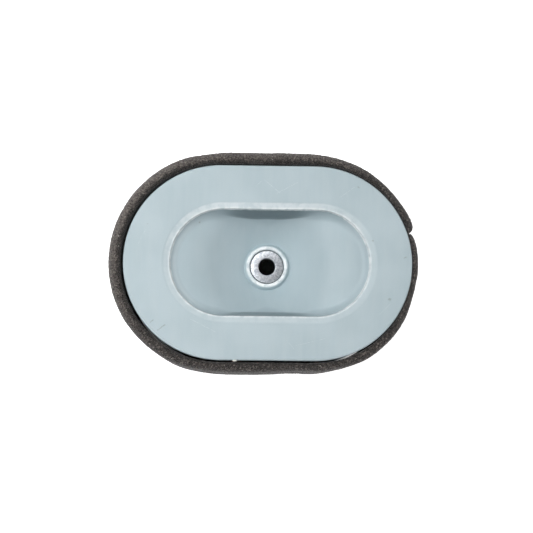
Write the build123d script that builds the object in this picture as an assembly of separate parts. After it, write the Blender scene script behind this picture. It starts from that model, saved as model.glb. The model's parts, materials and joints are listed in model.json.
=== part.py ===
from build123d import *

"""Oval air filter cartridge with a foam pre-cleaner sleeve, in millimetres.

The origin is on the stud axis, in the plane of the base gasket's underside. +Z points up to the closed end
cap, +X runs along the oval. Every oval here is a stadium: two half circles joined by straight sides.
"""
import os
from math import atan2, cos, hypot, pi, radians, sin, sqrt, tan

os.makedirs("parts", exist_ok=True)

# Driving dimensions
HEIGHT = 57.0                # gasket underside to the top of the end cap
HALF_STRAIGHT = 21.95        # half the straight side of every oval in the cartridge
CAP_RADIUS = 46.05           # end radius of both end caps: 136 mm long, 92 mm wide
SHEET = 0.5                  # pressed steel of the end caps
CAP_FLANGE = 6.0             # turned-down edge of the top cap
CAP_EDGE_BEND = 0.8          # outside bend radius of the top cap's edge
TOUCH = 0.01                 # slack for picking edges by place

# Recess of the top cap
RECESS_X = 1.0               # the recess lies a little to the right of the stud
SHOULDER_RADIUS = 28.8       # end radius where the cap starts to dip
WALL_RADIUS = 24.8           # end radius at the top of the steep wall
SHOULDER_DROP = 0.8
SHOULDER_ROUND = 3.0
WALL_DRAFT = 9.0             # degrees
LOBE_Z = 52.6                # recess floor at the two ends
BOWL_Z = 30.9                # tip of the bowl round the stud, cut away by the stud hole
BOWL_SLOPE = 36.0            # degrees, along the oval
BOWL_ROUND = 14.0            # radius of the bowl's tip
CREST_ROUND = 34.0           # radius where the bowl turns level
BOWL_SQUASH = 0.87           # the bowl is this much gentler across the oval than along it

# Collar and bush round the stud hole
COLLAR_RADIUS = 10.7
COLLAR_TOP_Z = 37.3
SEAT_RADIUS = 8.25
SEAT_Z = 34.2
SHANK_HOLE_RADIUS = 5.4
BUSH_FLANGE_RADIUS = 7.95
BUSH_TOP_Z = 36.3
BUSH_CHAMFER = 0.3
BUSH_SHANK_RADIUS = 5.3
STUD_BORE_RADIUS = 4.1       # clearance for a 5/16 in stud
CLINCH_RADIUS = 6.3
CLINCH_THICK = 0.7
SEAL_THICK = 0.6
SEAL_RADIUS = 8.15
BACKING_RADIUS = 8.5
BACKING_THICK = 1.0

# Filter pack between the end caps
GASKET_THICK = 4.0
GASKET_INNER = 30.6
GASKET_OUTER = 44.6
GASKET_ROUND = 1.2
CHANNEL_HEIGHT = 6.0         # walls of the bottom cap
CHANNEL_BEND = 1.5           # outside bend radius of its lower edges
OPENING_RADIUS = 29.6        # clean-air opening in the bottom cap
TOP_POTTING_INNER = 30.6
POTTING_DEPTH = 4.0
EMBED = 2.5                  # how far the pack stands in the potting
CORE_RADIUS = 31.4
SCREEN_RADIUS = 44.0
MESH_THICK = 0.5
MESH_MARGIN = 3.5            # plain band at each end of a mesh tube
PLEAT_INNER = 32.5
PLEAT_OUTER = 43.0
PAPER = 0.6
PLEATS_PER_SIDE = 10
PLEATS_PER_END = 26
FOLD_HALF_WIDTH = 0.45
CLIP_THICK = 0.3
CLIP_LEG = 5.0
CLIP_CLEAR = 1.0             # between the clip's ends and the potting
MESH_STRAND = 1.8            # width of the strands between two diamond openings
DIAMOND_PITCH_Z = 11.0
CORE_PER_SIDE = 5            # diamonds in a row
CORE_PER_END = 11
SCREEN_PER_SIDE = 5
SCREEN_PER_END = 16

# Foam sleeve, a little longer on the left than the cartridge, tight on the right
FOAM_OUTER_RADIUS = 51.95
FOAM_OUTER_STRAIGHT = 21.25
FOAM_OUTER_X = -1.75
FOAM_OUTER_Y = 0.4
FOAM_INNER_RADIUS = 46.9
FOAM_INNER_X = -0.5
FOAM_BOTTOM_Z = 2.5
FOAM_TOP_Z = 56.3
FOAM_ROUND = 2.5
SEAM_ANGLE = 17.5            # degrees round the right-hand end
SEAM_GAP = 0.5
SEAM_OVERCUT = 1.0           # how far the seam's cutters reach past the foam
GLUE_SETBACK = 0.1           # glue film inside the foam's inner face
NICK_DEPTH = 1.8
NICK_WIDTH = 2.6


def oval(radius, z, half_straight=HALF_STRAIGHT, x=0.0, y=0.0):
    """Stadium face at height z."""
    return Pos(x, y, z) * SlotCenterToCenter(2 * half_straight, 2 * radius)


def oval_block(radius, z_low, z_high):
    return extrude(oval(radius, z_low), z_high - z_low)


def oval_tube(outer, inner, z_low, z_high):
    return oval_block(outer, z_low, z_high) - oval_block(inner, z_low, z_high)


def disc(radius, z_low, z_high):
    return Pos(0, 0, z_low) * extrude(Circle(radius), z_high - z_low)


def only_solid(shape):
    """The one solid of a result that a boolean may wrap in a compound."""
    return shape.solids().sort_by(SortBy.VOLUME)[-1]


def bowl_block(offset):
    """Everything above the recess floor: an oval bowl that turns level towards both ends, lowered by offset."""
    slope = radians(BOWL_SLOPE)
    tip_round = BOWL_ROUND + offset
    crest_round = CREST_ROUND - offset
    tip_z = BOWL_Z - offset
    lobe_z = LOBE_Z - offset
    cone_x = tip_round * sin(slope)
    cone_z = tip_z + tip_round * (1 - cos(slope))
    crest_z = lobe_z - crest_round * (1 - cos(slope))
    crest_x = cone_x + (crest_z - cone_z) / tan(slope)
    lobe_x = crest_x + crest_round * sin(slope)
    half = slope / 2
    tip_mid = (tip_round * sin(half), tip_z + tip_round * (1 - cos(half)))
    crest_mid = (lobe_x - crest_round * sin(half), lobe_z - crest_round * (1 - cos(half)))
    end_x = HALF_STRAIGHT + CAP_RADIUS
    top_z = HEIGHT + SHEET
    profile = make_face([
        ThreePointArc((0, tip_z), tip_mid, (cone_x, cone_z)),
        Line((cone_x, cone_z), (crest_x, crest_z)),
        ThreePointArc((crest_x, crest_z), crest_mid, (lobe_x, lobe_z)),
        Line((lobe_x, lobe_z), (end_x, lobe_z)),
        Line((end_x, lobe_z), (end_x, top_z)),
        Line((end_x, top_z), (0, top_z)),
        Line((0, top_z), (0, tip_z)),
    ])
    bowl = revolve(Plane.XZ * profile, Axis.Z)
    return scale(bowl, by=(1, 1 / BOWL_SQUASH, 1))


def recess_block(offset):
    """The space of the recess, grown outward by offset: offset 0 is its surface, SHEET its underside."""
    wall_top = HEIGHT - SHOULDER_DROP - offset
    wall_low = BOWL_Z - 2 * SHEET
    wall_radius = WALL_RADIUS + offset
    low_radius = wall_radius - (wall_top - wall_low) * tan(radians(WALL_DRAFT))
    shoulder = loft([
        oval(SHOULDER_RADIUS, HEIGHT - offset, x=RECESS_X),
        oval(wall_radius, wall_top, x=RECESS_X),
    ], ruled=True)
    wall = loft([
        oval(wall_radius, wall_top, x=RECESS_X),
        oval(low_radius, wall_low, x=RECESS_X),
    ], ruled=True)
    return (wall & bowl_block(offset)) + shoulder


def collar_sheet():
    """Raised ring round the stud hole: a flat seat, a rolled crest and an outer wall, all one sheet thick."""
    crest_round = (COLLAR_RADIUS - SEAT_RADIUS) / 2
    crest_x = SEAT_RADIUS + crest_round
    crest_z = COLLAR_TOP_Z - crest_round
    foot_z = BOWL_Z - SHEET
    outside = [
        Line((SHANK_HOLE_RADIUS, SEAT_Z), (SEAT_RADIUS, SEAT_Z)),
        Line((SEAT_RADIUS, SEAT_Z), (SEAT_RADIUS, crest_z)),
        ThreePointArc((SEAT_RADIUS, crest_z), (crest_x, COLLAR_TOP_Z), (COLLAR_RADIUS, crest_z)),
        Line((COLLAR_RADIUS, crest_z), (COLLAR_RADIUS, foot_z)),
    ]
    inside = [
        Line((COLLAR_RADIUS, foot_z), (COLLAR_RADIUS - SHEET, foot_z)),
        Line((COLLAR_RADIUS - SHEET, foot_z), (COLLAR_RADIUS - SHEET, crest_z)),
        ThreePointArc(
            (COLLAR_RADIUS - SHEET, crest_z),
            (crest_x, COLLAR_TOP_Z - SHEET),
            (SEAT_RADIUS + SHEET, crest_z),
        ),
        Line((SEAT_RADIUS + SHEET, crest_z), (SEAT_RADIUS + SHEET, SEAT_Z - SHEET)),
        Line((SEAT_RADIUS + SHEET, SEAT_Z - SHEET), (SHANK_HOLE_RADIUS, SEAT_Z - SHEET)),
        Line((SHANK_HOLE_RADIUS, SEAT_Z - SHEET), (SHANK_HOLE_RADIUS, SEAT_Z)),
    ]
    return revolve(Plane.XZ * make_face(outside + inside), Axis.Z)


def top_end_cap():
    edge_low = HEIGHT - CAP_FLANGE
    block = oval_block(CAP_RADIUS, edge_low, HEIGHT)
    block = fillet(block.edges().group_by(Axis.Z)[-1], CAP_EDGE_BEND)
    hollow = oval_block(CAP_RADIUS - SHEET, edge_low, HEIGHT - SHEET)
    hollow = fillet(hollow.edges().group_by(Axis.Z)[-1], CAP_EDGE_BEND - SHEET)
    cap = block - hollow + recess_block(SHEET) - recess_block(0)
    rim = cap.edges().filter_by_position(Axis.Z, HEIGHT - TOUCH, HEIGHT + TOUCH)
    cap = fillet(rim.filter_by(lambda e: inside_shoulder(e)), SHOULDER_ROUND)
    cap = cap - disc(COLLAR_RADIUS - SHEET / 2, BOWL_Z - 2 * SHEET, HEIGHT)
    trimmed_collar = collar_sheet() & (bowl_block(SHEET) + disc(SEAT_RADIUS + SHEET, 0, HEIGHT))
    return only_solid(cap + trimmed_collar)


def inside_shoulder(edge):
    """An edge of the shoulder, not of the cap's outer bend."""
    box = edge.bounding_box()
    return max(abs(box.min.Y), abs(box.max.Y)) < SHOULDER_RADIUS + TOUCH


def stud_bush():
    clinch_top = SEAT_Z - SHEET - BACKING_THICK
    bush = disc(BUSH_FLANGE_RADIUS, SEAT_Z + SEAL_THICK, BUSH_TOP_Z)
    bush = chamfer(bush.edges().group_by(Axis.Z)[-1], BUSH_CHAMFER)
    bush = bush + disc(BUSH_SHANK_RADIUS, clinch_top - CLINCH_THICK, BUSH_TOP_Z - BUSH_CHAMFER)
    bush = bush + disc(CLINCH_RADIUS, clinch_top - CLINCH_THICK, clinch_top)
    bore = disc(STUD_BORE_RADIUS, 0, HEIGHT)
    return only_solid(bush - bore)


def stud_seal_washer():
    return disc(SEAL_RADIUS, SEAT_Z, SEAT_Z + SEAL_THICK) - disc(BUSH_SHANK_RADIUS, 0, HEIGHT)


def bush_backing_washer():
    top = SEAT_Z - SHEET
    return disc(BACKING_RADIUS, top - BACKING_THICK, top) - disc(BUSH_SHANK_RADIUS, 0, HEIGHT)


def top_potting():
    """Adhesive pool under the top cap, outside the recess."""
    low = HEIGHT - SHEET - POTTING_DEPTH
    return only_solid(oval_tube(CAP_RADIUS - SHEET, TOP_POTTING_INNER, low, HEIGHT - SHEET) - top_end_cap())


def bottom_end_cap():
    """Channel ring, open upward, round the clean-air opening."""
    low = GASKET_THICK
    channel = oval_tube(CAP_RADIUS, OPENING_RADIUS, low, low + CHANNEL_HEIGHT)
    lower_bends = channel.edges().group_by(Axis.Z)[0]
    channel = fillet(lower_bends, CHANNEL_BEND)
    inside = oval_tube(CAP_RADIUS - SHEET, OPENING_RADIUS + SHEET, low + SHEET, low + CHANNEL_HEIGHT)
    inside = fillet(inside.edges().group_by(Axis.Z)[0], CHANNEL_BEND - SHEET)
    return only_solid(channel - inside)


def bottom_potting():
    low = GASKET_THICK + SHEET
    pool = oval_tube(CAP_RADIUS - SHEET, OPENING_RADIUS + SHEET, low, low + POTTING_DEPTH)
    return only_solid(fillet(pool.edges().group_by(Axis.Z)[0], CHANNEL_BEND - SHEET))


def base_gasket():
    ring = oval_tube(GASKET_OUTER, GASKET_INNER, 0, GASKET_THICK)
    return only_solid(fillet(ring.edges().group_by(Axis.Z)[0], GASKET_ROUND))


def oval_stations(per_side, per_end, shift=0.0):
    """Evenly shared stations round an oval, anticlockwise: each a centre x and an outward angle in radians."""
    stations = []
    for side, turn in ((1, -pi / 2), (-1, pi / 2)):
        for i in range(per_side):
            x = side * 2 * HALF_STRAIGHT * ((i + shift) / per_side - 0.5)
            stations.append((x, turn))
        for i in range(per_end):
            stations.append((side * HALF_STRAIGHT, turn + pi * (i + shift) / per_end))
    return stations


def fold(station, radius):
    """The two corners of one blunt paper fold."""
    x, angle = station
    px = x + radius * cos(angle)
    py = radius * sin(angle)
    tx = -FOLD_HALF_WIDTH * sin(angle)
    ty = FOLD_HALF_WIDTH * cos(angle)
    return [(px - tx, py - ty), (px + tx, py + ty)]


def moved_sideways(points, offset):
    """A closed zigzag moved to its left by offset, with mitred corners."""
    moved = []
    for i, (x, y) in enumerate(points):
        before = Vector(*points[i - 1])
        here = Vector(x, y)
        after = Vector(*points[(i + 1) % len(points)])
        run_in = (here - before).normalized()
        run_out = (after - here).normalized()
        left_in = Vector(-run_in.Y, run_in.X)
        left_out = Vector(-run_out.Y, run_out.X)
        bisector = (left_in + left_out).normalized()
        reach = offset / bisector.dot(left_in)
        moved.append((x + bisector.X * reach, y + bisector.Y * reach))
    return moved


def pack_low():
    return GASKET_THICK + SHEET + POTTING_DEPTH - EMBED


def pack_high():
    return HEIGHT - SHEET - POTTING_DEPTH + EMBED


def pleated_element():
    """One strip of paper folded in and out all the way round."""
    inner = oval_stations(PLEATS_PER_SIDE, PLEATS_PER_END)
    outer = oval_stations(PLEATS_PER_SIDE, PLEATS_PER_END, shift=0.5)
    zigzag = []
    for inner_station, outer_station in zip(inner, outer):
        zigzag += fold(inner_station, PLEAT_INNER)
        zigzag += fold(outer_station, PLEAT_OUTER)
    outside = Polygon(*moved_sideways(zigzag, -PAPER / 2), align=None)
    inside = Polygon(*moved_sideways(zigzag, PAPER / 2), align=None)
    paper = Pos(0, 0, pack_low()) * (outside - inside)
    return only_solid(extrude(paper, pack_high() - pack_low()))


def pleat_seam_clip():
    """V-shaped metal strip crimped over one outer fold, where the two ends of the paper meet."""
    pitch = 2 * HALF_STRAIGHT / PLEATS_PER_SIDE
    lean = atan2(pitch / 2 - 2 * FOLD_HALF_WIDTH, PLEAT_OUTER - PLEAT_INNER)
    x = pitch / 2
    inner_face = PAPER / 2
    outer_face = inner_face + CLIP_THICK

    def corner(offset):
        return FOLD_HALF_WIDTH + offset * (1 - sin(lean)) / cos(lean), -offset

    def leg_end(offset):
        across = FOLD_HALF_WIDTH + offset * cos(lean) + CLIP_LEG * sin(lean)
        return across, CLIP_LEG * cos(lean) - offset * sin(lean)

    right = [corner(outer_face), leg_end(outer_face), leg_end(inner_face), corner(inner_face)]
    left = [(-across, depth) for across, depth in reversed(right)]
    outline = [(x + across, depth - PLEAT_OUTER) for across, depth in right + left]
    low = GASKET_THICK + SHEET + POTTING_DEPTH + CLIP_CLEAR
    high = HEIGHT - SHEET - POTTING_DEPTH - CLIP_CLEAR
    return Pos(0, 0, low) * extrude(Polygon(*outline, align=None), high - low)


def diamond(station, radius, z, half_width, half_height):
    """Diamond-shaped cutter through a mesh tube."""
    x, angle = station
    place = Plane(
        origin=(x + radius * cos(angle), radius * sin(angle), z),
        x_dir=(-sin(angle), cos(angle), 0),
        z_dir=(cos(angle), sin(angle), 0),
    )
    corners = [(half_width, 0), (0, half_height), (-half_width, 0), (0, -half_height)]
    return extrude(place * Polygon(*corners, align=None), 2 * MESH_THICK, both=True)


def mesh_tube(radius, per_side, per_end):
    """Expanded-metal tube: staggered rows of diamond openings between two plain bands."""
    low = pack_low()
    high = pack_high()
    tube = oval_tube(radius + MESH_THICK, radius, low, high)
    first = low + MESH_MARGIN + DIAMOND_PITCH_Z / 2
    last = high - MESH_MARGIN - DIAMOND_PITCH_Z / 2
    rows = int((last - first) / (DIAMOND_PITCH_Z / 2)) + 1
    row_pitch = (last - first) / (rows - 1)
    half_width = HALF_STRAIGHT / per_side - MESH_STRAND / 2
    half_height = row_pitch - MESH_STRAND * row_pitch / (2 * HALF_STRAIGHT / per_side)
    cutters = []
    for row in range(rows):
        for station in oval_stations(per_side, per_end, shift=0.5 * (row % 2)):
            cutters.append(diamond(station, radius, first + row * row_pitch, half_width, half_height))
    return only_solid(tube - cutters)


def inner_core():
    return mesh_tube(CORE_RADIUS, CORE_PER_SIDE, CORE_PER_END)


def outer_screen():
    return mesh_tube(SCREEN_RADIUS, SCREEN_PER_SIDE, SCREEN_PER_END)


def foam_tube():
    tube = extrude(
        oval(FOAM_OUTER_RADIUS, FOAM_BOTTOM_Z, FOAM_OUTER_STRAIGHT, FOAM_OUTER_X, FOAM_OUTER_Y)
        - oval(FOAM_INNER_RADIUS, FOAM_BOTTOM_Z, HALF_STRAIGHT, FOAM_INNER_X),
        FOAM_TOP_Z - FOAM_BOTTOM_Z,
    )
    ends = tube.edges().group_by(Axis.Z)
    outer_edges = [e for e in ends[0] + ends[-1] if outermost(e)]
    return fillet(outer_edges, FOAM_ROUND)


def outermost(edge):
    """An edge of the foam's outer face: its middle lies beyond the foam's inner oval."""
    middle = edge.position_at(0.5)
    past_straight = max(abs(middle.X - FOAM_INNER_X) - HALF_STRAIGHT, 0)
    return hypot(past_straight, middle.Y) > FOAM_INNER_RADIUS + TOUCH


def seam_plane():
    """Upright plane at the foam's joint: its X runs outward from the centre of the right-hand end."""
    angle = radians(SEAM_ANGLE)
    return Plane(
        origin=(FOAM_INNER_X + HALF_STRAIGHT, 0, FOAM_BOTTOM_Z - SEAM_OVERCUT),
        x_dir=(cos(angle), sin(angle), 0),
        z_dir=(0, 0, 1),
    )


def seam_outer_radius():
    """Distance from the centre of the right-hand inner end to the foam's outer face, along the joint."""
    angle = radians(SEAM_ANGLE)
    shift_x = FOAM_OUTER_X + FOAM_OUTER_STRAIGHT - FOAM_INNER_X - HALF_STRAIGHT
    along = shift_x * cos(angle) + FOAM_OUTER_Y * sin(angle)
    across = shift_x * sin(angle) - FOAM_OUTER_Y * cos(angle)
    return along + sqrt(FOAM_OUTER_RADIUS ** 2 - across ** 2)


def precleaner_foam():
    """Foam strip wrapped into a sleeve, with a slit at its joint and a nick along the outside of the slit."""
    outer = seam_outer_radius()
    inner_end = FOAM_INNER_RADIUS - SEAM_OVERCUT
    outer_end = outer + SEAM_OVERCUT
    slit = Pos((inner_end + outer_end) / 2, 0) * Rectangle(outer_end - inner_end, SEAM_GAP)
    nick = Polygon(
        (outer - NICK_DEPTH, 0), (outer_end, NICK_WIDTH / 2), (outer_end, -NICK_WIDTH / 2), align=None
    )
    height = FOAM_TOP_Z - FOAM_BOTTOM_Z + 2 * SEAM_OVERCUT
    return only_solid(foam_tube() - seam_plane() * extrude(slit + nick, height))


def foam_seam_glue():
    """Glue film filling the slit, set back from the nick."""
    inner = FOAM_INNER_RADIUS + GLUE_SETBACK
    outer = seam_outer_radius() - NICK_DEPTH
    film = Pos((inner + outer) / 2, 0) * Rectangle(outer - inner, SEAM_GAP)
    height = FOAM_TOP_Z - FOAM_BOTTOM_Z - 2 * FOAM_ROUND
    return seam_plane() * Pos(0, 0, SEAM_OVERCUT + FOAM_ROUND) * extrude(film, height)


NODES = [
    top_end_cap, stud_bush, stud_seal_washer, bush_backing_washer, top_potting, pleated_element,
    pleat_seam_clip, inner_core, outer_screen, bottom_end_cap, bottom_potting, base_gasket,
    precleaner_foam, foam_seam_glue,
]

for make_node in NODES:
    name = make_node.__name__
    shape = make_node()
    shape.label = name
    export_step(shape, f"parts/{name}.step")
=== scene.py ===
"""Looks of the oval air filter cartridge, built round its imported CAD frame.

Lengths are millimetres and turn into metres in make_piece(). Ovals are stadiums: two half circles of one
radius, joined by straight sides of 2 * HALF_STRAIGHT. A station is a place round an oval: the x of its
circle's centre and the outward angle there.
"""
import json
from math import atan2, cos, hypot, pi, radians, sin, tan

import bpy
import numpy as np
from mathutils import Matrix, Quaternion, Vector, noise


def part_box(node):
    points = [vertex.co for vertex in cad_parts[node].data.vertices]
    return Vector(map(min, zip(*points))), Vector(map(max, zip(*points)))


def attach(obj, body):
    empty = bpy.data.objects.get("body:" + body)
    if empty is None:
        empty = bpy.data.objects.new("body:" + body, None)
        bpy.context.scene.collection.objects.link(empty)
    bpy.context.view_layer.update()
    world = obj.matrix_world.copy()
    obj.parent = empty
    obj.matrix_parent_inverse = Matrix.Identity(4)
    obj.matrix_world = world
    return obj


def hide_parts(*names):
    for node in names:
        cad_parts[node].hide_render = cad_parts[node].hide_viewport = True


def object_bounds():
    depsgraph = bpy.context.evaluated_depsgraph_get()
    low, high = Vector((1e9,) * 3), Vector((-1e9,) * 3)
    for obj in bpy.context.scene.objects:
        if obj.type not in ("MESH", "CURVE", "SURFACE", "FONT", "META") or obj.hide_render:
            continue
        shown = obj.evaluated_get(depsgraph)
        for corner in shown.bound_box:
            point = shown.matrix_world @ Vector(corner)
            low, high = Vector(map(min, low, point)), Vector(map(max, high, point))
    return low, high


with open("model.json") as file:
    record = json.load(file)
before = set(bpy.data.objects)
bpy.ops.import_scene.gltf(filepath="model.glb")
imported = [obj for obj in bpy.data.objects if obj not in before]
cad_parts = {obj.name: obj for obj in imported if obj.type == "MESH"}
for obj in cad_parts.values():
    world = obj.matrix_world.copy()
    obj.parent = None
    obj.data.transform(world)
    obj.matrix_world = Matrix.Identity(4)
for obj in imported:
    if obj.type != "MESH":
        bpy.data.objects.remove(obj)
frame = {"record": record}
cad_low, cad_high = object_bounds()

MM = 0.001
noise.seed_set(1)              # noise_vector() starts from the clock without a seed


def node_box(node):
    """Lowest and highest corner of a CAD node, in millimetres."""
    low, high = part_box(node)
    return np.array(low) / MM, np.array(high) / MM


# Places read from the frame
_, cap_high = node_box("top_end_cap")
TOP_Z = cap_high[2]
CAP_RADIUS = cap_high[1]
HALF_STRAIGHT = cap_high[0] - CAP_RADIUS
seal_low, seal_high = node_box("stud_seal_washer")
SEAT_Z = seal_low[2]
bush_low, bush_high = node_box("stud_bush")
backing_low, backing_high = node_box("bush_backing_washer")
SHEET = SEAT_Z - backing_high[2]
paper_low, paper_high = node_box("pleated_element")
core_low, core_high = node_box("inner_core")
screen_low, screen_high = node_box("outer_screen")
channel_low, channel_high = node_box("bottom_end_cap")
gasket_low, gasket_high = node_box("base_gasket")
foam_low, foam_high = node_box("precleaner_foam")
clip_low, clip_high = node_box("pleat_seam_clip")
glue_low, glue_high = node_box("foam_seam_glue")
stud_bore = next(mount for mount in frame["record"]["mounts"] if mount["name"] == "stud_bore")
BORE_RADIUS = stud_bore["dims"]["r_mm"]

# End cap and its recess
CAP_FLANGE = 6.0
CAP_EDGE_BEND = 0.8
CHANNEL_BEND = 1.5
RECESS_X = 1.0                # the recess lies a little to the right of the stud
SHOULDER_RADIUS = 28.8
WALL_RADIUS = 24.8
SHOULDER_DROP = 0.8
WALL_TOP_Z = TOP_Z - SHOULDER_DROP
WALL_DRAFT = radians(9)
LOBE_Z = 52.6
BOWL_Z = 30.9                 # of the bowl's tip, cut away by the stud hole
BOWL_SLOPE = radians(36)
BOWL_ROUND = 14.0
CREST_ROUND = 34.0
BOWL_SQUASH = 0.87            # the bowl is this much gentler across the oval than along it
FOOT_ROUND = 0.9              # between the wall and the floor, beside the stud's centre line
CENTRE_FOOT_ROUND = 3.4       # on that line
CENTRE_FOOT_SPAN = 5.5
LOBE_FOOT_ROUND = 3.3
LOBE_START = 16.0
LOBE_END = 24.0
SHOULDER_ROUND = 3.0
WALL_ROUND = 1.4

# Collar and bush
COLLAR_FOOT = 11.2
COLLAR_TOP_Z = 37.3
COLLAR_CREST = 9.15
SEAT_RADIUS = 8.25
SHANK_HOLE = 5.4
BUSH_FLANGE = 7.95
BUSH_SHANK = 5.3
CLINCH_RADIUS = 6.3
BUSH_CONE = 0.38              # the flange's upper face falls this much from the hole to its rim

# Filter pack
OPENING_RADIUS = 29.6
POTTING_INNER = 30.6
POTTING_DEPTH = 4.0
PLEAT_INNER = 32.5
PLEAT_OUTER = 43.0
PAPER = 0.6
FOLD_HALF = 0.45              # half width of a fold's crown
FOLD_ROUND = 0.4
PLEATS_PER_SIDE = 10
PLEATS_PER_END = 26
MESH_THICK = 0.5
MESH_MARGIN = 3.5
MESH_STRAND = 1.8
DIAMOND_PITCH_Z = 11.0
STRAND_TWIST = 0.22
STRAND_STEPS = 3
CLIP_THICK = 0.3
CLIP_LEG = 5.0
CRIMP_PITCH = 4.6
CRIMP_DEPTH = 0.12
MENISCUS = 0.5
POOL_WAVE = 0.18
RIB_WIDTH = 2.6
RIB_HEIGHT = 1.2

# Foam sleeve
FOAM_OUTER_RADIUS = (foam_high[1] - foam_low[1]) / 2
FOAM_OUTER_X = (foam_low[0] + foam_high[0]) / 2
FOAM_OUTER_Y = (foam_high[1] + foam_low[1]) / 2
FOAM_OUTER_STRAIGHT = (foam_high[0] - foam_low[0]) / 2 - FOAM_OUTER_RADIUS
FOAM_INNER_RADIUS = 46.9
FOAM_INNER_X = -0.5
FOAM_ROUND = 3.0
SEAM_ANGLE = radians(17.5)
FOAM_PORE = 1.15

# Camera and lights
LENS = 89.8
CAMERA_DISTANCE = 623.6
CAMERA_AIM = (-0.7, -2.0, TOP_Z)
LEAN_LEFT = radians(1.5)
LEAN_NEAR = radians(6.0)
ROLL = radians(0.5)
SKY_LIGHT = 0.08
SOFTBOX_POWER = 3.0


# Mesh tools

def make_piece(name, points, faces, material, body="cartridge", smooth=True):
    """A mesh object from points in millimetres, riding on a body."""
    mesh = bpy.data.meshes.new(name)
    mesh.from_pydata((np.asarray(points, float).reshape(-1, 3) * MM).tolist(), [], faces)
    mesh.materials.append(material)
    mesh.polygons.foreach_set("use_smooth", [smooth] * len(mesh.polygons))
    mesh.update()
    piece = bpy.data.objects.new(name, mesh)
    bpy.context.scene.collection.objects.link(piece)
    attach(piece, body)
    return piece


def grid_faces(rows, columns, close_rows=False, close_columns=True):
    """Quads of a grid of points stored row by row."""
    last_row = rows if close_rows else rows - 1
    last_column = columns if close_columns else columns - 1
    faces = []
    for i in range(last_row):
        here = i * columns
        above = (i + 1) % rows * columns
        for j in range(last_column):
            beside = (j + 1) % columns
            faces.append((here + j, here + beside, above + beside, above + j))
    return faces


def turn_outward(piece):
    """Makes the faces of a closed mesh point outward."""
    volume = sum(face.center.dot(face.normal) * face.area for face in piece.data.polygons)
    if volume < 0:
        piece.data.flip_normals()


def solidify(piece, thickness, offset):
    """Gives a sheet its thickness. Offset -1 grows it behind its faces, 0 to both sides."""
    modifier = piece.modifiers.new("sheet", "SOLIDIFY")
    modifier.thickness = thickness * MM
    modifier.offset = offset
    modifier.use_even_offset = True


def add_attribute(piece, name, values):
    attribute = piece.data.attributes.new(name, "FLOAT", "POINT")
    attribute.data.foreach_set("value", np.asarray(values, np.float32).ravel())


def rise(value, low, high):
    """0 at low, 1 at high, straight between them. With low above high it falls instead."""
    return np.clip((value - low) / (high - low), 0, 1)


def bell(distance, spread, power=2):
    """1 at no distance, fading to almost nothing beyond twice the spread."""
    return np.exp(-(distance / spread) ** power)


def unit(way):
    return way / np.linalg.norm(way)


def rounded_loop(corners, steps=4):
    """A closed outline from (x, z, radius) corners, each turned with an arc of its own radius."""
    places = np.array(corners)[:, :2]
    outline = []
    for i, here in enumerate(places):
        to_before = unit(places[i - 1] - here)
        to_after = unit(places[(i + 1) % len(places)] - here)
        half = np.arccos(np.clip(to_before @ to_after, -1, 1)) / 2
        radius = corners[i][2]
        reach = radius / tan(half)
        centre = here + unit(to_before + to_after) * radius / sin(half)
        start = here + to_before * reach - centre
        end = here + to_after * reach - centre
        turn = pi - 2 * half
        for share in np.linspace(0, 1, steps + 1):
            blend = sin((1 - share) * turn) * start + sin(share * turn) * end
            outline.append(centre + blend / sin(turn))
    return np.array(outline)


def oval_stations(per_side, per_end, shift=0.0):
    """Evenly shared stations round an oval, anticlockwise, from the near side's left end."""
    stations = []
    for side, turn in ((1, -pi / 2), (-1, pi / 2)):
        for i in range(per_side):
            stations.append((side * 2 * HALF_STRAIGHT * ((i + shift) / per_side - 0.5), turn))
        for i in range(per_end):
            stations.append((side * HALF_STRAIGHT, turn + pi * (i + shift) / per_end))
    return np.array(stations)


def round_stations(count):
    return np.array([(0.0, 2 * pi * i / count) for i in range(count)])


def oval_points(stations, radius):
    """x and y of each station at a radius, which is one number, one for each station, or a column."""
    return stations[:, 0] + radius * np.cos(stations[:, 1]), radius * np.sin(stations[:, 1])


def sweep(name, profile, stations, material):
    """A closed (radius, z) outline carried round the stations."""
    x, y = oval_points(stations, profile[:, :1])
    points = np.stack([x, y, np.broadcast_to(profile[:, 1:], x.shape)], -1)
    faces = grid_faces(len(profile), len(stations), close_rows=True)
    piece = make_piece(name, points, faces, material)
    turn_outward(piece)
    return piece


# Materials

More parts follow.
